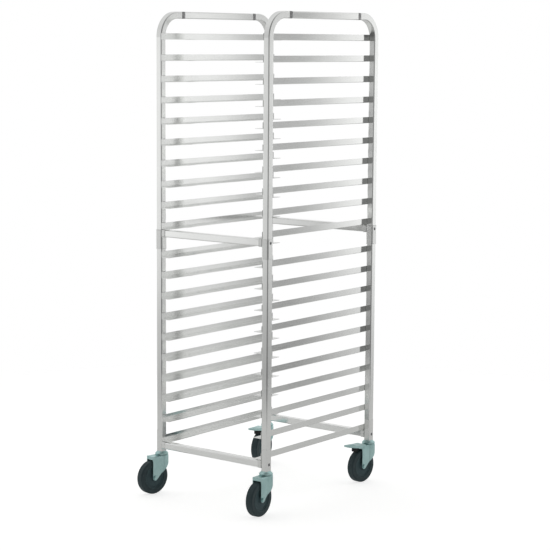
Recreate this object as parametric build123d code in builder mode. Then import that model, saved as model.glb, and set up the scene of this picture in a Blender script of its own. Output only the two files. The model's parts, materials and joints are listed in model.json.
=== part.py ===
"""Sheet pan rack: a tall knock-down frame of square tube with twenty pan tiers, on four casters.

Millimetres, +Z up.  X runs across the rack, Y from the pan entry (-Y, the front) to the back, and
the floor is Z = 0.  All four casters trail forward at rest, so the frame itself stands FRAME_Y
behind the origin, which is the middle of the floor area that the whole rack covers.
"""

import os

from build123d import *

# ---- Frame: overall sizes ----
FRAME_WIDTH = 517.0  # over the posts
FRAME_DEPTH = 660.0  # over the posts
HEIGHT = 1767.0
FRAME_Y = 41.0  # from the origin to the middle of the frame

# ---- Posts: square aluminium tube ----
TUBE = 25.4
TUBE_WALL = 1.5
TUBE_CORNER = 3.5
BEND_RADIUS = 80.0  # centre line of the bend at the top of a post
BEND_SEAM = 115.0  # from a post's outer face to the seam where the top rail begins
POST_BOTTOM = 155.0
POST_JOINT = 943.0  # where the upper and the lower half of a post meet inside the sleeve

# ---- Sleeves and sockets ----
SLEEVE_WALL = 2.0
SLEEVE_SLIP = 0.1
SLEEVE_BOTTOM = 909.0
SLEEVE_TOP = 980.0
SOCKET_WALL = 1.0
SOCKET_TOP = 234.5

# ---- Tiers ----
PITCH = 76.0
TIERS_PER_HALF = 10
UPPER_TIER = 1666.0  # underside of the highest ledge in the upper half
LOWER_TIER = 878.0  # underside of the highest ledge in the lower half
RUNNER_HEIGHT = 23.0
RUNNER_WIDTH = 35.0
RUNNER_SHEET = 1.5

# ---- Crossbars ----
MID_BAR_Z = 966.5
LOW_BAR_Z = 178.5
END_SOCKET = 28.4
END_SOCKET_LENGTH = 14.0
END_SOCKET_BASE = 3.0
BAR_SLIP = 0.1

# ---- Frame screws: countersunk ----
SCREW_R = 3.0
SCREW_HEAD_R = 5.5
SCREW_END_X = 212.0  # where a screw ends, measured from the rack's middle plane
SCREW_SLIP = 0.1

# ---- Casters ----
WHEEL_R = 62.5
WHEEL_WIDTH = 28.0
TRAIL = 44.0  # from the swivel axis to the axle
HUB_R = 43.0
HUB_LENGTH = 31.0
FORK_SHEET = 2.5
FORK_HALF = 19.0
LEG_R = 11.0
CROWN_R = 25.0
CROWN_TOP = 141.0
CROWN_SHEET = 3.0
CROWN_LIP = 12.0  # how far the crown's trailing edge is turned down between the legs
RACE_TOP = 143.0
CUP_BOTTOM = 144.0
CUP_R = 24.5
KINGPIN_R = 6.0
BALL_R = 2.5
BALL_CIRCLE_R = 15.0
BALLS = 12
BALL_SLIP = 0.1
RACE_BOTTOM = 142.1
RACE_SLIP = 0.3
KINGPIN_SLIP = 0.08
KINGPIN_END = 127.0
PLUG_TOP = 212.0
PLUG_SLIP = 0.2
NUT_BOTTOM = 129.0
NUT_HEIGHT = 8.6
TYRE_SHOULDER = 5.0
AXLE_R = 5.0
AXLE_SLIP = 0.05
THREAD_SLIP = 0.02
BUSH_R = 7.5
TRAIL_ANGLE = {"left_front": -100, "right_front": -87, "left_rear": -82, "right_rear": -96}
CASTER_NAME = {"left_front": "front_left", "right_front": "front_right", "left_rear": "rear_left",
               "right_rear": "rear_right"}

# ---- Brake, on the rear casters ----
BRAKE_X = 46.0  # pivot, measured from the swivel axis along the trail
BRAKE_Z = 134.7
BRAKE_PIN_R = 2.4
PEDAL_SLIP = 0.08
EAR_GAP = 0.4
EAR_SHEET = 2.0
EAR_DROP = 6.5
PEDAL_SHEET = 2.2
PEDAL_START = 39.0
PEDAL_NECK = 64.0
PEDAL_END = 124.0
PEDAL_TOP = 146.0
PEDAL_TIP_TOP = 151.5
PEDAL_TIP_HALF = 14.0
SHOE_GAP = 9.0
SHOE_START = 67.0
SHOE_END = 84.0
SHOE_HALF = 11.0

# ---- Places worked out from the sizes above ----
POST_X = (FRAME_WIDTH - TUBE) / 2
POST_Y = (FRAME_DEPTH - TUBE) / 2
OUTER_X = FRAME_WIDTH / 2
INNER_X = OUTER_X - TUBE  # the posts' inner faces, which carry the runners
FRONT_FACE = FRAME_Y - FRAME_DEPTH / 2
RAIL_Z = HEIGHT - TUBE / 2
CORNERS = {"left_front": (-1, -1), "right_front": (1, -1), "left_rear": (-1, 1), "right_rear": (1, 1)}
UPPER_TIERS = [UPPER_TIER - PITCH * i for i in range(TIERS_PER_HALF)]
LOWER_TIERS = [LOWER_TIER - PITCH * i for i in range(TIERS_PER_HALF)]


def save(piece, name):
    piece.part.label = name
    export_step(piece.part, f"parts/{name}.step")


def post_centre(corner):
    side, end = CORNERS[corner]
    return side * POST_X, FRAME_Y + end * POST_Y


def tube_section():
    """The square tube's section, drawn in the sketch that is open."""
    RectangleRounded(TUBE, TUBE, TUBE_CORNER)
    inner = TUBE - 2 * TUBE_WALL
    RectangleRounded(inner, inner, TUBE_CORNER - TUBE_WALL, mode=Mode.SUBTRACT)


def cut_screw_hole(side, y, z, proud):
    """A countersunk hole along X into the outer face that stands proud of the post by that much."""
    face = Plane(origin=(side * (OUTER_X + proud), y, z), z_dir=(side, 0, 0))
    with Locations(face):
        CounterSinkHole(
            radius=SCREW_R + SCREW_SLIP,
            counter_sink_radius=SCREW_HEAD_R + SCREW_SLIP,
            counter_sink_angle=90,
            depth=OUTER_X - SCREW_END_X,
        )


# ---------------------------------------------------------------- frame


def make_upper_post(corner):
    """A post of the upper half, bent inward at the top as one end of the side's inverted U."""
    side, end = CORNERS[corner]
    x, y = post_centre(corner)
    seam_y = FRAME_Y + end * (FRAME_DEPTH / 2 - BEND_SEAM)
    with BuildPart() as post:
        with BuildLine() as path:
            FilletPolyline((x, y, POST_JOINT), (x, y, RAIL_Z), (x, seam_y, RAIL_Z), radius=BEND_RADIUS)
        with BuildSketch(Plane.XY.offset(POST_JOINT)):
            with Locations((x, y)):
                tube_section()
        sweep(path=path.wire())
        cut_screw_hole(side, y, MID_BAR_Z, SLEEVE_WALL)
    save(post, f"{corner}_upper_post")


def make_lower_post(corner):
    side, _ = CORNERS[corner]
    x, y = post_centre(corner)
    with BuildPart() as post:
        with BuildSketch(Plane.XY.offset(POST_BOTTOM)):
            with Locations((x, y)):
                tube_section()
        extrude(amount=POST_JOINT - POST_BOTTOM)
        cut_screw_hole(side, y, LOW_BAR_Z, SOCKET_WALL)
    save(post, f"{corner}_lower_post")


def make_top_rail(side, name):
    length = FRAME_DEPTH - 2 * BEND_SEAM
    with BuildPart() as rail:
        with BuildSketch(Plane(origin=(side * POST_X, FRAME_Y - length / 2, RAIL_Z), z_dir=(0, 1, 0))):
            tube_section()
        extrude(amount=length)
    save(rail, f"{name}_top_rail")


def make_mid_sleeve(corner):
    """The sleeve that joins the two halves of a post."""
    side, _ = CORNERS[corner]
    x, y = post_centre(corner)
    outer = TUBE + 2 * SLEEVE_WALL
    inner = TUBE + 2 * SLEEVE_SLIP
    with BuildPart() as sleeve:
        with BuildSketch(Plane.XY.offset(SLEEVE_BOTTOM)):
            with Locations((x, y)):
                RectangleRounded(outer, outer, TUBE_CORNER + SLEEVE_WALL)
                RectangleRounded(inner, inner, TUBE_CORNER + SLEEVE_SLIP, mode=Mode.SUBTRACT)
        extrude(amount=SLEEVE_TOP - SLEEVE_BOTTOM)
        cut_screw_hole(side, y, MID_BAR_Z, SLEEVE_WALL)
    save(sleeve, f"{corner}_sleeve")


def make_caster_socket(corner):
    """A thin wrap round the foot of a post, open on the inner face that carries the runners."""
    side, _ = CORNERS[corner]
    x, y = post_centre(corner)
    outer = TUBE + 2 * SOCKET_WALL
    with BuildPart() as socket:
        with BuildSketch(Plane.XY.offset(POST_BOTTOM)):
            with Locations((x, y)):
                RectangleRounded(outer, outer, TUBE_CORNER + SOCKET_WALL)
                RectangleRounded(TUBE, TUBE, TUBE_CORNER, mode=Mode.SUBTRACT)
            with Locations((x - side * TUBE / 2, y)):
                Rectangle(2 * TUBE_CORNER, 2 * outer, mode=Mode.SUBTRACT)
        extrude(amount=SOCKET_TOP - POST_BOTTOM)
        cut_screw_hole(side, y, LOW_BAR_Z, SOCKET_WALL)
    save(socket, f"{corner}_caster_socket")


def make_crossbar(end, z, inner_x, name):
    """A bar between the two end sockets, whose closed bases touch the posts or their sleeves."""
    length = 2 * (inner_x - END_SOCKET_BASE)
    with BuildPart() as bar:
        with BuildSketch(Plane(origin=(-length / 2, FRAME_Y + end * POST_Y, z), z_dir=(1, 0, 0))):
            tube_section()
        extrude(amount=length)
    save(bar, f"{name}_crossbar")


def make_end_sockets():
    """Eight short square cups that hold the ends of the crossbars against the posts."""
    pocket = TUBE + 2 * BAR_SLIP
    with BuildPart() as sockets:
        for side, end in CORNERS.values():
            for z, inner_x in ((MID_BAR_Z, INNER_X - SLEEVE_WALL), (LOW_BAR_Z, INNER_X)):
                y = FRAME_Y + end * POST_Y
                base = Plane(origin=(side * inner_x, y, z), z_dir=(-side, 0, 0))
                with BuildSketch(base):
                    RectangleRounded(END_SOCKET, END_SOCKET, TUBE_CORNER + SOCKET_WALL)
                extrude(amount=END_SOCKET_LENGTH)
                with BuildSketch(base.offset(END_SOCKET_BASE)):
                    RectangleRounded(pocket, pocket, TUBE_CORNER)
                extrude(amount=END_SOCKET_LENGTH, mode=Mode.SUBTRACT)
                with BuildSketch(base):
                    Circle(SCREW_R + SCREW_SLIP / 4)
                extrude(amount=END_SOCKET_BASE, mode=Mode.SUBTRACT)
    save(sockets, "crossbar_end_sockets")


def make_frame_screws():
    """Eight countersunk screws, from the posts' outer faces into the crossbars' end sockets."""
    inward = (Align.CENTER, Align.CENTER, Align.MAX)
    head_depth = SCREW_HEAD_R - SCREW_R
    with BuildPart() as screws:
        for side, end in CORNERS.values():
            for z, proud in ((MID_BAR_Z, SLEEVE_WALL), (LOW_BAR_Z, SOCKET_WALL)):
                face_x = OUTER_X + proud
                face = Plane(origin=(side * face_x, FRAME_Y + end * POST_Y, z), z_dir=(side, 0, 0))
                with Locations(face):
                    Cylinder(SCREW_R, face_x - SCREW_END_X, align=inward)
                    Cone(SCREW_R, SCREW_HEAD_R, head_depth, align=inward)
                with BuildSketch(face):
                    RegularPolygon(SCREW_R * 0.7, 6)
                extrude(amount=-head_depth, mode=Mode.SUBTRACT)
    save(screws, "frame_screws")


def make_runners(side, tiers, name):
    """Ten angle runners, each with its ledge at the foot of the flange that is welded to the posts."""
    start = Plane(origin=(0, FRONT_FACE, 0), x_dir=(side, 0, 0), z_dir=(0, -side, 0))
    ledge_tip = INNER_X - RUNNER_WIDTH
    flange = INNER_X - RUNNER_SHEET
    with BuildPart() as runner:
        with BuildSketch(start) as angle:
            with BuildLine():
                Polyline((INNER_X, 0), (INNER_X, RUNNER_HEIGHT), (flange, RUNNER_HEIGHT),
                         (flange, RUNNER_SHEET), (ledge_tip, RUNNER_SHEET), (ledge_tip, 0), close=True)
            make_face()
            fillet(angle.vertices().sort_by_distance((INNER_X, 0, 0))[0], 1.5 * RUNNER_SHEET)
            fillet(angle.vertices().sort_by_distance((flange, RUNNER_SHEET, 0))[0], RUNNER_SHEET / 2)
        extrude(amount=-side * FRAME_DEPTH)
    with BuildPart() as ladder:
        with Locations(*[(0, 0, z) for z in tiers]):
            add(runner.part)
    save(ladder, f"{name}_runners")


# ---------------------------------------------------------------- casters


def caster_plane(corner):
    """A plane on the floor under a post, with its X along the caster's trail and its Y along the axle."""
    x, y = post_centre(corner)
    return Plane(origin=(x, y, 0)).rotated((0, 0, TRAIL_ANGLE[corner]))


def side_plane(base):
    """A plane through the swivel axis that shows a caster from the side: X is the trail, Y is up."""
    return Plane(origin=base.origin, x_dir=base.x_dir, z_dir=-base.y_dir)


def axle_plane(base):
    """A plane through the axle, for profiles that turn round it: X is the axle, Y the radius."""
    centre = base.origin + base.x_dir * TRAIL + Vector(0, 0, WHEEL_R)
    return Plane(origin=centre, x_dir=base.y_dir, z_dir=base.x_dir)


def turned(plane, points):
    """The closed outline revolved round the plane's own X axis, added to the part that is open."""
    with BuildSketch(plane) as outline:
        with BuildLine():
            Polyline(*points, close=True)
        make_face()
    revolve(outline.sketch, axis=Axis(plane.origin, plane.x_dir))


def make_stem(corner):
    """The square plug pinned in the post, the bearing cup under it and the kingpin, in one piece."""
    x, y = post_centre(corner)
    race_in = BALL_CIRCLE_R - BALL_R - RACE_SLIP
    race_out = BALL_CIRCLE_R + BALL_R + RACE_SLIP
    race_roof = RACE_BOTTOM + 2 * BALL_R + 2 * BALL_SLIP
    plug = TUBE - 2 * TUBE_WALL - 2 * PLUG_SLIP
    with BuildPart() as stem:
        with BuildSketch(side_plane(caster_plane(corner))):
            with BuildLine():
                Polyline((0, KINGPIN_END), (KINGPIN_R, KINGPIN_END), (KINGPIN_R, CUP_BOTTOM),
                         (race_in, CUP_BOTTOM), (race_in, race_roof), (race_out, race_roof),
                         (race_out, CUP_BOTTOM), (CUP_R, CUP_BOTTOM), (CUP_R, CUP_BOTTOM + 3),
                         (CUP_R - 5, POST_BOTTOM - 3), (TUBE / 2 + 3, POST_BOTTOM),
                         (0, POST_BOTTOM), close=True)
            make_face()
        revolve(axis=Axis((x, y, 0), (0, 0, 1)))
        with BuildSketch(Plane.XY.offset(POST_BOTTOM)):
            with Locations((x, y)):
                RectangleRounded(plug, plug, TUBE_CORNER - TUBE_WALL)
        extrude(amount=PLUG_TOP - POST_BOTTOM)
        cut_screw_hole(CORNERS[corner][0], y, LOW_BAR_Z, SOCKET_WALL)
    save(stem, f"{CASTER_NAME[corner]}_caster_stem")


def make_kingpin_nuts():
    with BuildPart() as nuts:
        for corner in CORNERS:
            with BuildSketch(Plane.XY.offset(NUT_BOTTOM)):
                with Locations(post_centre(corner)):
                    RegularPolygon(1.5 * KINGPIN_R, 6, major_radius=False)
                    Circle(KINGPIN_R + THREAD_SLIP, mode=Mode.SUBTRACT)
            extrude(amount=NUT_HEIGHT)
    save(nuts, "kingpin_nuts")


def make_swivel_balls():
    """The balls that run between each fork's crown and the cup above it."""
    ball_z = RACE_BOTTOM + BALL_R + BALL_SLIP
    with BuildPart() as balls:
        for corner in CORNERS:
            x, y = post_centre(corner)
            with Locations((x, y, ball_z)):
                with PolarLocations(BALL_CIRCLE_R, BALLS):
                    Sphere(BALL_R)
    save(balls, "swivel_balls")


def make_fork(corner):
    """The pressed fork: crown plate, two tapering legs, the leading skirt and the trailing lip."""
    base = caster_plane(corner)
    side = side_plane(base)
    braked = corner.endswith("rear")
    leg_bottom = WHEEL_R - LEG_R
    cheek_length = 2 * TRAIL
    skirt = 24.0
    race_in = BALL_CIRCLE_R - BALL_R - RACE_SLIP
    race_out = BALL_CIRCLE_R + BALL_R + RACE_SLIP
    with BuildPart() as fork:
        with BuildSketch(base.offset(leg_bottom)):
            Circle(CROWN_R)
            with Locations((cheek_length / 2, 0)):
                Rectangle(cheek_length, 2 * FORK_HALF)
        extrude(amount=CROWN_TOP - leg_bottom)
        fillet(fork.faces().sort_by(Axis.Z)[-1].edges(), FORK_SHEET)
        with BuildSketch(base.offset(leg_bottom)):
            Circle(CROWN_R - FORK_SHEET)
            with Locations((cheek_length / 2, 0)):
                Rectangle(cheek_length, 2 * (FORK_HALF - FORK_SHEET))
        extrude(amount=CROWN_TOP - CROWN_SHEET - leg_bottom, mode=Mode.SUBTRACT)
        with BuildSketch(base.offset(CROWN_TOP - CROWN_LIP)):
            with Locations((TRAIL + LEG_R - FORK_SHEET / 2, 0)):
                Rectangle(FORK_SHEET, 2 * FORK_HALF - FORK_SHEET)
        extrude(amount=CROWN_LIP - CROWN_SHEET / 2)
        with BuildSketch(side):
            with Locations((TRAIL, WHEEL_R)):
                Circle(LEG_R)
            with Locations(((TRAIL + LEG_R - CROWN_R) / 2, CROWN_TOP - skirt / 2)):
                Rectangle(TRAIL + LEG_R + CROWN_R, skirt)
            make_hull()
        extrude(amount=CROWN_R, both=True, mode=Mode.INTERSECT)
        with BuildSketch(base.offset(CROWN_TOP)):
            Circle(CROWN_R - FORK_SHEET)
        extrude(amount=RACE_TOP - CROWN_TOP)
        with BuildSketch(base.offset(RACE_BOTTOM)):
            Circle(race_out)
            Circle(race_in, mode=Mode.SUBTRACT)
        extrude(amount=RACE_TOP - RACE_BOTTOM, mode=Mode.SUBTRACT)
        with BuildSketch(base.offset(CROWN_TOP - CROWN_SHEET)):
            Circle(KINGPIN_R + KINGPIN_SLIP)
        extrude(amount=RACE_TOP - CROWN_TOP + CROWN_SHEET, mode=Mode.SUBTRACT)
        with BuildSketch(side):
            with Locations((TRAIL, WHEEL_R)):
                Circle(AXLE_R + AXLE_SLIP)
            if braked:
                with Locations((BRAKE_X, BRAKE_Z)):
                    Circle(BRAKE_PIN_R + AXLE_SLIP)
        extrude(amount=CROWN_R, both=True, mode=Mode.SUBTRACT)
    save(fork, f"{CASTER_NAME[corner]}_fork")


def make_axle(corner):
    """The axle bolt through both legs and its nut."""
    plane = axle_plane(caster_plane(corner))
    across = Plane(origin=plane.origin, x_dir=plane.z_dir, z_dir=plane.x_dir)
    head = 3.5
    flats_r = 7.0
    with BuildPart() as axle:
        with BuildSketch(across.offset(-FORK_HALF - head)):
            RegularPolygon(flats_r, 6, major_radius=False)
        extrude(amount=head)
        with BuildSketch(across.offset(-FORK_HALF - head)):
            Circle(AXLE_R)
        extrude(amount=2 * FORK_HALF + 2 * head + 0.5)
        with BuildSketch(across.offset(FORK_HALF)):
            RegularPolygon(flats_r, 6, major_radius=False)
            Circle(AXLE_R + THREAD_SLIP, mode=Mode.SUBTRACT)
        extrude(amount=head)
    save(axle, f"{CASTER_NAME[corner]}_axle")


def make_bush(corner):
    """The steel tube clamped between the legs, on which the wheel turns."""
    end = FORK_HALF - FORK_SHEET
    bore = AXLE_R + THREAD_SLIP
    with BuildPart() as bush:
        turned(axle_plane(caster_plane(corner)), [(-end, bore), (end, bore), (end, BUSH_R), (-end, BUSH_R)])
    save(bush, f"{CASTER_NAME[corner]}_axle_bush")


def make_hub(corner):
    """The wheel's moulded core: a long boss, a thin web and the rim that carries the tyre."""
    bore = BUSH_R + KINGPIN_SLIP
    end = HUB_LENGTH / 2
    boss_r = 14.0
    web = 10.5
    rim = WHEEL_WIDTH / 2 - 1.5
    rim_r = HUB_R - 6
    with BuildPart() as hub:
        turned(axle_plane(caster_plane(corner)),
               [(-end, bore), (end, bore), (end, boss_r - 1.5), (end - 1.5, boss_r), (web, boss_r + 2),
                (web, rim_r - 2), (rim, rim_r), (rim, HUB_R), (-rim, HUB_R), (-rim, rim_r),
                (-web, rim_r - 2), (-web, boss_r + 2), (-end + 1.5, boss_r), (-end, boss_r - 1.5)])
    save(hub, f"{CASTER_NAME[corner]}_wheel_hub")


def make_tyre(corner):
    plane = axle_plane(caster_plane(corner))
    with BuildPart() as tyre:
        with BuildSketch(plane) as section:
            with Locations((0, (WHEEL_R + HUB_R) / 2)):
                Rectangle(WHEEL_WIDTH, WHEEL_R - HUB_R)
            fillet(section.vertices().group_by(Axis.Y)[-1], TYRE_SHOULDER)
        revolve(axis=Axis(plane.origin, plane.x_dir))
    save(tyre, f"{CASTER_NAME[corner]}_tyre")


# ---------------------------------------------------------------- brakes


def pedal_outline(base, inset):
    """The pedal seen from above: wide over the fork, tapering to the tip."""
    half = FORK_HALF + EAR_GAP + EAR_SHEET - inset
    tip_half = PEDAL_TIP_HALF - inset
    with BuildSketch(base.offset(BRAKE_Z - 2 * EAR_DROP)) as outline:
        with BuildLine():
            Polyline((PEDAL_START, half), (PEDAL_NECK, half), (PEDAL_END, tip_half), (PEDAL_END, -tip_half),
                     (PEDAL_NECK, -half), (PEDAL_START, -half), close=True)
        make_face()
    return outline.sketch


def pedal_profile(side, drop):
    """The pedal seen from the side, lowered by drop: flat over the fork, then rising to the tip."""
    foot = BRAKE_Z - EAR_DROP - drop
    top = PEDAL_TOP - drop
    tip_top = PEDAL_TIP_TOP - drop
    with BuildSketch(side) as profile:
        with BuildLine():
            Polyline((PEDAL_START, foot), (PEDAL_START, top), (PEDAL_NECK, top), (PEDAL_END - drop, tip_top),
                     (PEDAL_END - drop, tip_top - EAR_DROP), (PEDAL_NECK, BRAKE_Z - drop),
                     (BRAKE_X + EAR_DROP, foot), close=True)
        make_face()
    return profile.sketch


def make_pedal(corner):
    """The pressed brake lever: a channel whose two ears straddle the fork."""
    base = caster_plane(corner)
    side = side_plane(base)
    rise = PEDAL_TIP_TOP - BRAKE_Z + 3 * EAR_DROP
    with BuildPart() as hollow:
        extrude(pedal_profile(side, PEDAL_SHEET), amount=CROWN_R, both=True)
        extrude(pedal_outline(base, EAR_SHEET), amount=rise, mode=Mode.INTERSECT)
    with BuildPart() as pedal:
        extrude(pedal_profile(side, 0), amount=CROWN_R, both=True)
        extrude(pedal_outline(base, 0), amount=rise, mode=Mode.INTERSECT)
        add(hollow.part, mode=Mode.SUBTRACT)
        with BuildSketch(side):
            with Locations((BRAKE_X, BRAKE_Z)):
                Circle(BRAKE_PIN_R + PEDAL_SLIP)
        extrude(amount=CROWN_R, both=True, mode=Mode.SUBTRACT)
    save(pedal, f"{CASTER_NAME[corner]}_brake_pedal")


def make_shoe(corner):
    """The brake shoe under the pedal, hollowed to the tyre's curve."""
    side = side_plane(caster_plane(corner))
    slope = (PEDAL_TIP_TOP - PEDAL_TOP) / (PEDAL_END - PEDAL_SHEET - PEDAL_NECK)
    reach = WHEEL_R + SHOE_GAP

    def under_plate(x):
        return x, PEDAL_TOP - PEDAL_SHEET + slope * (x - PEDAL_NECK)

    def over_tyre(x):
        return x, WHEEL_R + (reach**2 - (x - TRAIL) ** 2) ** 0.5

    middle = (SHOE_START + SHOE_END) / 2
    with BuildPart() as shoe:
        with BuildSketch(side):
            with BuildLine():
                ThreePointArc(over_tyre(SHOE_START), over_tyre(middle), over_tyre(SHOE_END))
                Polyline(over_tyre(SHOE_END), under_plate(SHOE_END), under_plate(SHOE_START),
                         over_tyre(SHOE_START))
            make_face()
        extrude(amount=SHOE_HALF, both=True)
    save(shoe, f"{CASTER_NAME[corner]}_brake_shoe")


def make_brake_pin(corner):
    """The rivet on which the pedal tilts, headed outside the pedal's ears."""
    base = caster_plane(corner)
    pivot = base.origin + base.x_dir * BRAKE_X + Vector(0, 0, BRAKE_Z)
    across = Plane(origin=pivot, x_dir=base.x_dir, z_dir=base.y_dir)
    half = FORK_HALF + EAR_GAP + EAR_SHEET + EAR_GAP
    head = 1.2
    with BuildPart() as pin:
        with BuildSketch(across):
            Circle(BRAKE_PIN_R)
        extrude(amount=half, both=True)
        for start in (-half - head, half):
            with BuildSketch(across.offset(start)):
                Circle(1.7 * BRAKE_PIN_R)
            extrude(amount=head)
    save(pin, f"{CASTER_NAME[corner]}_brake_pin")


os.makedirs("parts", exist_ok=True)

for side, name in ((-1, "left"), (1, "right")):
    make_top_rail(side, name)
    make_runners(side, UPPER_TIERS, f"{name}_upper")
    make_runners(side, LOWER_TIERS, f"{name}_lower")
for end, name in ((-1, "front"), (1, "rear")):
    make_crossbar(end, MID_BAR_Z, INNER_X - SLEEVE_WALL, f"{name}_mid")
    make_crossbar(end, LOW_BAR_Z, INNER_X, f"{name}_bottom")
make_end_sockets()
make_frame_screws()
make_kingpin_nuts()
make_swivel_balls()
for corner in CORNERS:
    make_upper_post(corner)
    make_lower_post(corner)
    make_mid_sleeve(corner)
    make_caster_socket(corner)
    make_stem(corner)
    make_fork(corner)
    make_axle(corner)
    make_bush(corner)
    make_hub(corner)
    make_tyre(corner)
    if corner.endswith("rear"):
        make_pedal(corner)
        make_shoe(corner)
        make_brake_pin(corner)
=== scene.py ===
"""Sheet pan rack: finishes, weld beads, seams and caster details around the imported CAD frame.

Metres, +Z up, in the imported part's own frame.  Every CAD node is shown as it is, in a finish for its
material; the pieces that are made here are the small things that sit on it.
"""

import json
import math

import bmesh
import bpy
from mathutils import Matrix, Vector


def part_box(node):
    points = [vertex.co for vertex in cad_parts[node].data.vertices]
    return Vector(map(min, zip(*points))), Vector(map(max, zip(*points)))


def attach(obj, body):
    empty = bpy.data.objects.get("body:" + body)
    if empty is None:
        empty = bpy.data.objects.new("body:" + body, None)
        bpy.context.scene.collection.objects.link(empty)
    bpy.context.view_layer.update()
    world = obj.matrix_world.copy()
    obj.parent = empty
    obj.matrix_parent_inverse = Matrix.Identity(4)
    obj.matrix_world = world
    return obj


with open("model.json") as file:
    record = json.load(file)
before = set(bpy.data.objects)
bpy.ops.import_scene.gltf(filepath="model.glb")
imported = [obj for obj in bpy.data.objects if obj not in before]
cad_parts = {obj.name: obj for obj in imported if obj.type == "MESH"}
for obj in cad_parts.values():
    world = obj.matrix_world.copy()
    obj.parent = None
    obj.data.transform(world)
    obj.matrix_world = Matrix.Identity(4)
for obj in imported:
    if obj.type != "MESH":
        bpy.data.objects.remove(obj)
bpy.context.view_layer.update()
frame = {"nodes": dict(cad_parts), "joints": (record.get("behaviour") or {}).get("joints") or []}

MM = 0.001
CORNERS = ("left_front", "right_front", "left_rear", "right_rear")
CASTERS = ("front_left", "front_right", "rear_left", "rear_right")
BRAKED_CASTERS = ("rear_left", "rear_right")
JOINTS = {joint["name"]: joint for joint in frame["joints"]}

# Sizes repeated from the CAD
TIERS_PER_HALF = 10
FLANGE_HEIGHT = 23 * MM
TUBE_CORNER = 3.5 * MM
SLEEVE_WALL = 2 * MM
WHEEL_FACE = 14 * MM  # from a wheel's middle to its side face
PEDAL_NECK = 64 * MM  # where a pedal begins to narrow and rise, from the swivel axis
PEDAL_END = 124 * MM
PEDAL_RISE = 5.5 * MM
PEDAL_NECK_HALF = 21.4 * MM
PEDAL_TIP_HALF = 14 * MM

# Weld beads
WELD_RADIUS = 1.3 * MM
WELD_RIPPLE = 2.2 * MM
WELD_SINK = 0.5 * MM  # from a runner's outer face in to a weld's centre line
BEAD_SIDES = 8
BEAD_MIN_STEPS = 16
STEPS_PER_RIPPLE = 4
RIPPLE_DEPTH = 0.12  # share of a bead's radius
BEAD_CUT = 0.04  # share of the half sine that is cut off at each end of a bead
BEAD_BLUNTNESS = 0.35  # power of that sine: the lower it is, the blunter the ends are

# Bands round the square tubes
SEAM_SHADE_BAND = 17 * MM  # length along its rail of a dark band that is painted shade over the rail's joint
SEAM_PROUD = 0.1 * MM
LIP_WIDTH = 2.4 * MM
LIP_PROUD = 0.5 * MM
LIP_INSET = 1.4 * MM  # from a sleeve's end to the middle of its lip
CORNER_STEPS = 6
# A band's section: (share of how far it stands proud, share of its width from its middle)
BAND_PROFILE = ((0, -0.5), (0.7, -0.4), (1, -0.15), (1, 0.15), (0.7, 0.4), (0, 0.5))

# Turned and pressed details of the casters
LATHE_SIDES = 64
# A rim bead's section in mm: (out from the wheel's face, radius)
RIM_PROFILE = ((-1.2, 41.6), (0.4, 41.9), (0.7, 42.8), (0.4, 43.9), (-0.6, 44.2))
# A black ring's section in mm, painted shade of the gap between the bearing cup and the fork's race: (up
# from the race's top, radius)
RACE_GAP_SHADE_PROFILE = ((-0.4, 20.2), (-0.4, 22.6), (0.5, 23.4), (0.8, 22.8), (0.8, 20.2))
RIDGES = 5
RIDGE_GAP = 8 * MM
RIDGE_RADIUS = 1 * MM
RIDGE_SINK = 0.3 * MM  # from a pedal's top down to a ridge's centre line
RIDGE_INSET = 2.5 * MM  # from a pedal's edge to a ridge's end

# Finishes
DIE_LINE_STRETCH = 0.012  # scale of the die lines along the tube, against 1 across it

# Stage, in metres
FLOOR_HALF = 30
FLOOR_SOLID = 1.6  # the floor is whole this far from the middle
FLOOR_END = 2.6  # and has faded away here
MIRRORED_LIFT = 0.22  # the floor's glow in what the metal mirrors
SEEN_LIFT = 0.72  # and where the camera sees it
CAMERA_PLACE = (3.9755, -5.0431, 1.6597)
CAMERA_YAW = math.radians(37.782)  # from looking straight back, towards the left
CAMERA_PITCH = math.radians(7.578)  # down
CAMERA_ROLL = math.radians(0.383)
LENS_MM = 114.59
SENSOR_MM = 36

# The studio's grey level by heading, in degrees from the back (0) to the right (90)
HEADINGS = (
    (-180, 0.30), (-152, 0.36), (-146, 0.50), (-142, 0.79), (-139.5, 0.98), (-125, 1.0), (-60, 1.0),
    (20, 1.1), (34.8, 1.3), (36.0, 0.85), (36.9, 0.31), (38.6, 0.26), (39.4, 1.1), (40.8, 1.15),
    (41.3, 0.7), (42, 0.55), (60, 0.6), (85, 0.45), (110, 0.28), (142, 0.25), (165, 0.27), (180, 0.30),
)
# and by height, in degrees above the horizon
HEIGHTS = (
    (-90, 0.6), (-12, 0.52), (-10.2, 0.56), (-8.2, 0.76), (-6, 0.94), (-1.5, 1.0), (0.3, 1.0), (1.2, 0.82),
    (30, 0.7), (90, 0.8),
)


# ---------------------------------------------------------------- node helpers


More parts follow.
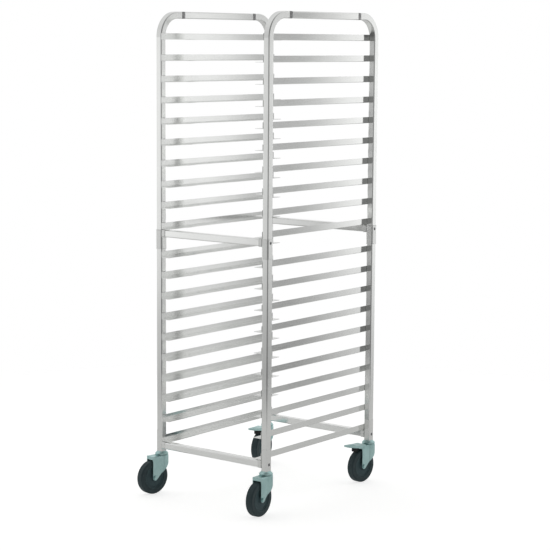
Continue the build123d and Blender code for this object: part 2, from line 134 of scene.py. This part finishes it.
class Nodes:
    """A material's node tree, with its Principled shader ready."""

    def __init__(self, name):
        self.material = bpy.data.materials.new(name)
        self.material.use_nodes = True
        self.tree = self.material.node_tree
        self.shader = self.tree.nodes["Principled BSDF"]
        self.place = self.add("ShaderNodeTexCoord").outputs["Object"]

    def add(self, kind, **values):
        node = self.tree.nodes.new(kind)
        for key, value in values.items():
            node.inputs[key.replace("_", " ")].default_value = value
        return node

    def link(self, output, node, socket):
        self.tree.links.new(output, node.inputs[socket])

    def set(self, **values):
        for key, value in values.items():
            self.shader.inputs[key.replace("_", " ")].default_value = value

    def noise(self, scale, detail=4.0, stretch=(1, 1, 1), roughness=0.55):
        """A noise over the object's own place, stretched along the axes whose factor is small."""
        mapping = self.add("ShaderNodeMapping", Scale=stretch)
        self.link(self.place, mapping, "Vector")
        noise = self.add("ShaderNodeTexNoise", Scale=scale, Detail=detail, Roughness=roughness)
        self.link(mapping.outputs["Vector"], noise, "Vector")
        return noise.outputs["Fac"]

    def spread(self, value, low, high, start=0.3, end=0.7):
        """The value's middle part, start to end, mapped to low to high."""
        node = self.add("ShaderNodeMapRange", From_Min=start, From_Max=end, To_Min=low, To_Max=high)
        self.link(value, node, "Value")
        return node.outputs["Result"]

    def tint(self, factor, dark, light):
        """A colour between dark and light."""
        node = self.tree.nodes.new("ShaderNodeMix")
        node.data_type = "RGBA"
        node.inputs["A"].default_value = (*dark, 1)
        node.inputs["B"].default_value = (*light, 1)
        self.tree.links.new(factor, node.inputs["Factor"])
        return node.outputs["Result"]

    def bump(self, *layers):
        """One bump after another, each from (height, strength, distance)."""
        normal = None
        for height, strength, distance in layers:
            node = self.add("ShaderNodeBump", Strength=strength, Distance=distance)
            self.link(height, node, "Height")
            if normal:
                self.link(normal, node, "Normal")
            normal = node.outputs["Normal"]
        self.link(normal, self.shader, "Normal")


def drawn_aluminium(name, along, rough=(0.10, 0.16), tone=0.83):
    """Drawn aluminium, with fine die lines that run along one axis, soft clouding and faint scuffs.

    rough is its least and greatest roughness, and tone the grey of its darkest places.
    """
    nodes = Nodes(name)
    nodes.set(Metallic=1.0)
    stretch = [DIE_LINE_STRETCH if axis == along else 1 for axis in "XYZ"]
    lines = nodes.noise(scale=900, detail=3, stretch=stretch, roughness=0.7)
    clouds = nodes.noise(scale=7, detail=3)
    scuffs = nodes.noise(scale=160, detail=8, roughness=0.75)
    dark, light = ([level, level + 0.008, level - 0.005] for level in (tone, tone + 0.05))
    colour = nodes.tint(nodes.spread(clouds, 0, 1), dark, light)
    nodes.link(colour, nodes.shader, "Base Color")
    mixed = nodes.add("ShaderNodeMath")
    mixed.operation = "ADD"
    low, high = rough[0] / 2, rough[1] / 2
    nodes.link(nodes.spread(lines, low, high), mixed, 0)
    nodes.link(nodes.spread(scuffs, low, high, start=0.35, end=0.75), mixed, 1)
    nodes.link(mixed.outputs["Value"], nodes.shader, "Roughness")
    around = nodes.tree.nodes.new("ShaderNodeTangent")
    around.direction_type = "RADIAL"
    around.axis = along
    nodes.link(around.outputs["Tangent"], nodes.shader, "Tangent")
    nodes.set(Anisotropic=0.75)
    nodes.bump((lines, 0.02, 0.05 * MM))
    return nodes.material


def weld_aluminium(name, dark, light):
    """Aluminium after welding: grainy, with soot and heat tint in clouds between dark and light. The top
    rails' seams use it darker, as painted shade.
    """
    nodes = Nodes(name)
    nodes.set(Metallic=1.0)
    grain = nodes.noise(scale=700, detail=5)
    soot = nodes.noise(scale=60)
    colour = nodes.tint(nodes.spread(soot, 0, 1), [dark] * 3, [light] * 3)
    nodes.link(colour, nodes.shader, "Base Color")
    nodes.link(nodes.spread(grain, 0.3, 0.5), nodes.shader, "Roughness")
    nodes.bump((grain, 0.3, 0.4 * MM))
    return nodes.material


def zinc_plate():
    """Bright zinc plating with a bluish green cast and a fine, cloudy spangle."""
    nodes = Nodes("zinc_plate")
    nodes.set(Metallic=1.0)
    spangle = nodes.noise(scale=240, detail=5, roughness=0.65)
    clouds = nodes.noise(scale=28, detail=3)
    colour = nodes.tint(nodes.spread(clouds, 0, 1), dark=(0.43, 0.64, 0.63), light=(0.52, 0.73, 0.72))
    nodes.link(colour, nodes.shader, "Base Color")
    nodes.link(nodes.spread(spangle, 0.24, 0.42), nodes.shader, "Roughness")
    nodes.bump((spangle, 0.08, 0.3 * MM), (clouds, 0.1, 2 * MM))
    return nodes.material


def screw_steel():
    """Steel with a fine mottle, darker than bare steel: the darkness is painted shade for the hex recesses
    in the screw heads.
    """
    nodes = Nodes("screw_steel")
    nodes.set(Metallic=1.0)
    mottle = nodes.noise(scale=500)
    colour = nodes.tint(nodes.spread(mottle, 0, 1), dark=(0.16, 0.165, 0.17), light=(0.33, 0.335, 0.34))
    nodes.link(colour, nodes.shader, "Base Color")
    nodes.link(nodes.spread(mottle, 0.3, 0.5), nodes.shader, "Roughness")
    nodes.bump((mottle, 0.15, 0.2 * MM))
    return nodes.material


def moulded(name, dark, light, rough):
    """Moulded rubber or plastic: a fine grain, and a faint bloom that changes its colour and gloss."""
    nodes = Nodes(name)
    nodes.set(Specular_IOR_Level=0.3)
    grain = nodes.noise(scale=900, roughness=0.7)
    bloom = nodes.noise(scale=34, detail=6, roughness=0.6)
    colour = nodes.tint(nodes.spread(bloom, 0, 1), dark, light)
    nodes.link(colour, nodes.shader, "Base Color")
    nodes.link(nodes.spread(bloom, rough[0], rough[1]), nodes.shader, "Roughness")
    nodes.bump((grain, 0.2, 0.3 * MM))
    return nodes.material


def studio_floor():
    """The pale floor: near white in the picture, softer grey in what the metal mirrors, faded far out."""
    nodes = Nodes("studio_floor")
    tree = nodes.tree
    clouds = nodes.noise(scale=3)
    colour = nodes.tint(nodes.spread(clouds, 0, 1), dark=(0.60, 0.60, 0.59), light=(0.62, 0.62, 0.61))
    nodes.link(colour, nodes.shader, "Base Color")
    nodes.set(Roughness=0.9, Emission_Color=(1, 1, 1, 1))
    seen = tree.nodes.new("ShaderNodeLightPath")
    lift = nodes.spread(seen.outputs["Is Camera Ray"], MIRRORED_LIFT, SEEN_LIFT, start=0, end=1)
    nodes.link(lift, nodes.shader, "Emission Strength")
    centre = nodes.add("ShaderNodeVectorMath")
    centre.operation = "LENGTH"
    nodes.link(nodes.place, centre, 0)
    clear = tree.nodes.new("ShaderNodeBsdfTransparent")
    faded = tree.nodes.new("ShaderNodeMixShader")
    nodes.link(nodes.spread(centre.outputs["Value"], 0, 1, FLOOR_SOLID, FLOOR_END), faded, 0)
    nodes.link(nodes.shader.outputs[0], faded, 1)
    nodes.link(clear.outputs[0], faded, 2)
    nodes.link(faded.outputs[0], tree.nodes["Material Output"], "Surface")
    return nodes.material


FINISH = {
    "post": drawn_aluminium("drawn_aluminium_upright", "Z"),
    "runner": drawn_aluminium("drawn_aluminium_runner", "Y"),
    # Painted light: the crossbars get a lighter copy of the same drawn aluminium (tone 0.93 against 0.83),
    # so they look brighter than the posts.
    "bar": drawn_aluminium("drawn_aluminium_crossbar_painted_light", "X", tone=0.93),
    "sleeve": drawn_aluminium("pressed_aluminium_sleeve", "Z", rough=(0.22, 0.28)),
    "weld": weld_aluminium("weld_aluminium", dark=0.40, light=0.74),
    # The seam finish is painted shade: a dark band over each joint of a top rail and a bent post, wider
    # than the joint itself.
    "seam": weld_aluminium("painted_seam_shade", dark=0.20, light=0.44),
    "zinc": zinc_plate(),
    "screw": screw_steel(),
    # The wheel core is its own dark teal, lifted lighter as painted light against the shade in the hub's
    # deep recess; the rim beads share it.
    "core": moulded("wheel_core", dark=(0.044, 0.08, 0.088), light=(0.058, 0.1, 0.11), rough=(0.4, 0.55)),
    "tyre": moulded("tyre_rubber", dark=(0.032, 0.054, 0.06), light=(0.048, 0.076, 0.083),
                    rough=(0.45, 0.62)),
    "shoe": moulded("brake_rubber", dark=(0.014, 0.014, 0.015), light=(0.03, 0.03, 0.03), rough=(0.6, 0.8)),
}

# The ending of a CAD node's name, and its finish
NODE_FINISH = (
    ("_runners", "runner"),
    ("_top_rail", "runner"),
    ("_crossbar", "bar"),
    ("_post", "post"),
    ("_caster_socket", "sleeve"),
    ("_sleeve", "sleeve"),
    ("_end_sockets", "sleeve"),
    ("frame_screws", "screw"),
    ("_nuts", "zinc"),
    ("_balls", "screw"),
    ("_stem", "zinc"),
    ("_fork", "zinc"),
    ("_axle", "zinc"),
    ("_axle_bush", "screw"),
    ("_wheel_hub", "core"),
    ("_tyre", "tyre"),
    ("_brake_pedal", "zinc"),
    ("_brake_shoe", "shoe"),
    ("_brake_pin", "zinc"),
)


def dress_nodes():
    """Gives every CAD node the finish listed for the ending of its name."""
    for name, node in frame["nodes"].items():
        finish = next(finish for ending, finish in NODE_FINISH if name.endswith(ending))
        node.data.materials.clear()
        node.data.materials.append(FINISH[finish])


# ---------------------------------------------------------------- mesh helpers


def make_piece(name, bm, finish, body):
    """Turns the bmesh into a piece that rides on a body."""
    bmesh.ops.recalc_face_normals(bm, faces=bm.faces)
    mesh = bpy.data.meshes.new(name)
    bm.to_mesh(mesh)
    bm.free()
    mesh.materials.append(FINISH[finish])
    mesh.shade_smooth()
    piece = bpy.data.objects.new(name, mesh)
    bpy.context.scene.collection.objects.link(piece)
    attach(piece, body)


def skin_rings(bm, rings, closed):
    """Quads between one ring of vertices and the next; closed joins the last ring to the first."""
    pairs = list(zip(rings, rings[1:] + rings[:1]))
    for here, there in pairs if closed else pairs[:-1]:
        for i, vertex in enumerate(here):
            j = (i + 1) % len(here)
            bm.faces.new((vertex, here[j], there[j], there[i]))


def full_turn(count):
    """As many angles as count, spread evenly over a full turn."""
    return [2 * math.pi * i / count for i in range(count)]


def add_bead(bm, start, end, radius, ripple):
    """A rounded run from start to end, with ripples that stand one ripple apart and blunt ends."""
    run = end - start
    along = run.normalized()
    across = along.orthogonal().normalized()
    up = along.cross(across)
    steps = max(BEAD_MIN_STEPS, round(run.length / ripple * STEPS_PER_RIPPLE))
    rings = []
    for i in range(steps + 1):
        share = i / steps
        taper = math.sin(math.pi * (BEAD_CUT + (1 - 2 * BEAD_CUT) * share)) ** BEAD_BLUNTNESS
        swell = abs(math.sin(math.pi * share * run.length / ripple))
        size = radius * taper * (1 - RIPPLE_DEPTH + RIPPLE_DEPTH * swell)
        centre = start + run * share
        rings.append([bm.verts.new(centre + (across * math.cos(a) + up * math.sin(a)) * size)
                      for a in full_turn(BEAD_SIDES)])
    skin_rings(bm, rings, closed=False)
    bm.faces.new(rings[0])
    bm.faces.new(rings[-1])


def add_band(bm, centre, half, corner, u, v, proud, width):
    """A band with rounded edges round a square tube, whose section lies in u and v.

    half is half of the tube's outer size, and corner the radius of its corners.
    """
    normal = u.cross(v)
    straight = half - corner
    outline = []
    for quarter, (u_side, v_side) in enumerate(((1, 1), (-1, 1), (-1, -1), (1, -1))):
        for step in range(CORNER_STEPS + 1):
            angle = math.pi / 2 * (quarter + step / CORNER_STEPS)
            outline.append((u_side * straight, v_side * straight, angle))
    rings = []
    for out, shift in BAND_PROFILE:
        reach = corner + out * proud
        rings.append([bm.verts.new(centre + u * (x + reach * math.cos(a)) + v * (y + reach * math.sin(a))
                                   + normal * shift * width) for x, y, a in outline])
    skin_rings(bm, rings, closed=True)


def add_lathe(bm, origin, axis, profile):
    """The closed profile of (along, radius) points, turned about the axis through the origin."""
    axis = axis.normalized()
    u = axis.orthogonal().normalized()
    v = axis.cross(u)
    rings = []
    for along, radius in profile:
        rings.append([bm.verts.new(origin + axis * along + (u * math.cos(a) + v * math.sin(a)) * radius)
                      for a in full_turn(LATHE_SIDES)])
    skin_rings(bm, rings, closed=True)


# ---------------------------------------------------------------- frame details


def post_span(corner):
    """The y where the flat of a post's side begins and ends, between its rounded corners."""
    low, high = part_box(f"{corner}_lower_post")
    return low.y + TUBE_CORNER, high.y - TUBE_CORNER


def runner_welds(side, half_name):
    """The fillet welds above and below each runner's flange, on both posts."""
    low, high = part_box(f"{side}_{half_name}_runners")
    outward = -1 if side == "left" else 1
    face_x = high.x if outward > 0 else low.x
    pitch = (high.z - low.z - FLANGE_HEIGHT) / (TIERS_PER_HALF - 1)
    bm = bmesh.new()
    for tier in range(TIERS_PER_HALF):
        for end in ("front", "rear"):
            start_y, end_y = post_span(f"{side}_{end}")
            for z in (low.z + tier * pitch, low.z + tier * pitch + FLANGE_HEIGHT):
                x = face_x - outward * WELD_SINK
                add_bead(bm, Vector((x, start_y, z)), Vector((x, end_y, z)), WELD_RADIUS, WELD_RIPPLE)
    make_piece(f"{side}_{half_name}_runner_welds", bm, "weld", "frame")


def rail_seams():
    """The dark bands of painted shade at the ends of the top rails, over the joints where they meet the
    bent posts.
    """
    bm = bmesh.new()
    for side in ("left", "right"):
        low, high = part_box(f"{side}_top_rail")
        middle = (low + high) / 2
        for y in (low.y + SEAM_SHADE_BAND / 2, high.y - SEAM_SHADE_BAND / 2):
            centre = Vector((middle.x, y, middle.z))
            add_band(bm, centre, (high.x - low.x) / 2, TUBE_CORNER, Vector((1, 0, 0)), Vector((0, 0, 1)),
                     SEAM_PROUD, SEAM_SHADE_BAND)
    make_piece("top_rail_seam_shade", bm, "seam", "frame")


def sleeve_lips():
    """The rolled lips at both ends of the four sleeves."""
    bm = bmesh.new()
    for corner in CORNERS:
        low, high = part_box(f"{corner}_sleeve")
        middle = (low + high) / 2
        for z in (low.z + LIP_INSET, high.z - LIP_INSET):
            centre = Vector((middle.x, middle.y, z))
            add_band(bm, centre, (high.x - low.x) / 2, TUBE_CORNER + SLEEVE_WALL, Vector((1, 0, 0)),
                     Vector((0, 1, 0)), LIP_PROUD, LIP_WIDTH)
    make_piece("sleeve_lips", bm, "sleeve", "frame")


def build_frame_details():
    """The welds, bands and lips, which all ride on the frame."""
    for side in ("left", "right"):
        for half_name in ("upper", "lower"):
            runner_welds(side, half_name)
    rail_seams()
    sleeve_lips()


# ---------------------------------------------------------------- caster details


def rim_beads(caster):
    """The raised beads round both faces of a wheel, where its core meets its tyre."""
    wheel = JOINTS[f"{caster}_wheel_spin"]
    bm = bmesh.new()
    for face in (-1, 1):
        profile = [(face * WHEEL_FACE + face * proud * MM, radius * MM) for proud, radius in RIM_PROFILE]
        add_lathe(bm, Vector(wheel["pos_m"]), Vector(wheel["axis"]), profile)
    make_piece(f"{caster}_rim_beads", bm, "core", f"{caster}_wheel")


def race_gap_shade(caster):
    """A black ring on top of the fork's race, under the bearing cup: painted shade of the gap between them.
    """
    swivel_x, swivel_y, _ = JOINTS[f"{caster}_swivel_turn"]["pos_m"]
    race_top = Vector((swivel_x, swivel_y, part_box(f"{caster}_fork")[1].z))
    bm = bmesh.new()
    profile = [(up * MM, radius * MM) for up, radius in RACE_GAP_SHADE_PROFILE]
    add_lathe(bm, race_top, Vector((0, 0, 1)), profile)
    make_piece(f"{caster}_race_gap_shade", bm, "shoe", f"{caster}_swivel")


def pedal_ridges(caster):
    """The grip ridges pressed up across the outer part of a brake pedal."""
    swivel_x, swivel_y, _ = JOINTS[f"{caster}_swivel_turn"]["pos_m"]
    wheel = JOINTS[f"{caster}_wheel_spin"]
    across = Vector(wheel["axis"])
    trail = Vector((wheel["pos_m"][0] - swivel_x, wheel["pos_m"][1] - swivel_y, 0)).normalized()
    tip = Vector((swivel_x, swivel_y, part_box(f"{caster}_brake_pedal")[1].z)) + trail * PEDAL_END
    length = PEDAL_END - PEDAL_NECK
    bm = bmesh.new()
    for ridge in range(RIDGES):
        back = RIDGE_GAP * (ridge + 1)
        half = PEDAL_TIP_HALF + (PEDAL_NECK_HALF - PEDAL_TIP_HALF) * back / length - RIDGE_INSET
        middle = tip - trail * back - Vector((0, 0, PEDAL_RISE * back / length + RIDGE_SINK))
        add_bead(bm, middle - across * half, middle + across * half, RIDGE_RADIUS, ripple=2 * half)
    make_piece(f"{caster}_pedal_ridges", bm, "zinc", f"{caster}_brake")


# ---------------------------------------------------------------- stage


def build_floor():
    """A flat floor under the rack."""
    bm = bmesh.new()
    bmesh.ops.create_grid(bm, x_segments=4, y_segments=4, size=FLOOR_HALF)
    mesh = bpy.data.meshes.new("floor")
    bm.to_mesh(mesh)
    bm.free()
    mesh.materials.append(studio_floor())
    floor = bpy.data.objects.new("floor", mesh)
    bpy.context.scene.collection.objects.link(floor)


def ramp_of(tree, angle, low, high, stops):
    """A grey ramp over an angle between low and high degrees, from (degrees, level) stops."""
    turn = tree.nodes.new("ShaderNodeMapRange")
    turn.inputs["From Min"].default_value = math.radians(low)
    turn.inputs["From Max"].default_value = math.radians(high)
    tree.links.new(angle, turn.inputs["Value"])
    ramp = tree.nodes.new("ShaderNodeValToRGB")
    tree.links.new(turn.outputs["Result"], ramp.inputs["Fac"])
    elements = ramp.color_ramp.elements
    elements.remove(elements[1])
    for i, (degrees, level) in enumerate(stops):
        spot = (degrees - low) / (high - low)
        element = elements.new(spot) if i else elements[0]
        element.position = spot
        element.color = (level, level, level, 1)
    return ramp.outputs["Color"]


def world_math(tree, operation, *inputs):
    """The result of a Math node on the inputs."""
    node = tree.nodes.new("ShaderNodeMath")
    node.operation = operation
    for i, value in enumerate(inputs):
        tree.links.new(value, node.inputs[i])
    return node.outputs[0]


def build_world():
    """The studio: white to the camera, and light and dark by place in what the metal mirrors.

    It is bright to the left and the back and dark to the right and the front, with a narrow dark strip
    between bright ones at the back's right.
    """
    world = bpy.data.worlds.new("studio")
    bpy.context.scene.world = world
    world.use_nodes = True
    tree = world.node_tree
    background = tree.nodes["Background"]
    place = tree.nodes.new("ShaderNodeTexCoord")
    split = tree.nodes.new("ShaderNodeSeparateXYZ")
    tree.links.new(place.outputs["Generated"], split.inputs[0])
    heading = world_math(tree, "ARCTAN2", split.outputs["X"], split.outputs["Y"])
    height = world_math(tree, "ARCSINE", split.outputs["Z"])
    level = tree.nodes.new("ShaderNodeMix")
    level.data_type = "RGBA"
    level.blend_type = "MULTIPLY"
    level.inputs["Factor"].default_value = 1
    tree.links.new(ramp_of(tree, heading, -180, 180, HEADINGS), level.inputs["A"])
    tree.links.new(ramp_of(tree, height, -90, 90, HEIGHTS), level.inputs["B"])
    seen = tree.nodes.new("ShaderNodeLightPath")
    plain = tree.nodes.new("ShaderNodeMix")
    plain.data_type = "RGBA"
    plain.inputs["B"].default_value = (1, 1, 1, 1)
    tree.links.new(seen.outputs["Is Camera Ray"], plain.inputs["Factor"])
    tree.links.new(level.outputs["Result"], plain.inputs["A"])
    tree.links.new(plain.outputs["Result"], background.inputs["Color"])
    background.inputs["Strength"].default_value = 1.0


def add_light(name, place, target, size, power):
    """A rectangular light of the given (width, height) and power, which no reflection shows."""
    light = bpy.data.lights.new(name, "AREA")
    light.shape = "RECTANGLE"
    light.size, light.size_y = size
    light.energy = power
    lamp = bpy.data.objects.new(name, light)
    lamp.location = place
    lamp.rotation_euler = (Vector(target) - Vector(place)).to_track_quat("-Z", "Y").to_euler()
    lamp.visible_camera = False
    lamp.visible_glossy = False
    bpy.context.scene.collection.objects.link(lamp)


def build_camera():
    """The picture's viewpoint: from the right of the front, a little below the top of the rack."""
    level = math.cos(CAMERA_PITCH)
    forward = Vector((-math.sin(CAMERA_YAW) * level, math.cos(CAMERA_YAW) * level, -math.sin(CAMERA_PITCH)))
    right = Vector((math.cos(CAMERA_YAW), math.sin(CAMERA_YAW), 0))
    up = right.cross(forward)
    x_axis = right * math.cos(CAMERA_ROLL) + up * math.sin(CAMERA_ROLL)
    y_axis = up * math.cos(CAMERA_ROLL) - right * math.sin(CAMERA_ROLL)
    data = bpy.data.cameras.new("camera")
    data.sensor_width = SENSOR_MM
    data.lens = LENS_MM
    data.clip_end = 200
    camera = bpy.data.objects.new("camera", data)
    rotation = Matrix((x_axis, y_axis, -forward)).transposed().to_4x4()
    camera.matrix_world = Matrix.Translation(CAMERA_PLACE) @ rotation
    bpy.context.scene.collection.objects.link(camera)
    bpy.context.scene.camera = camera


dress_nodes()
build_frame_details()
for caster in CASTERS:
    rim_beads(caster)
    race_gap_shade(caster)
for caster in BRAKED_CASTERS:
    pedal_ridges(caster)
build_floor()
build_world()
add_light("key", place=(-2.5, -2.0, 3.6), target=(0, 0, 0.8), size=(1, 1), power=4)
build_camera()
bpy.context.scene.view_settings.view_transform = "Standard"
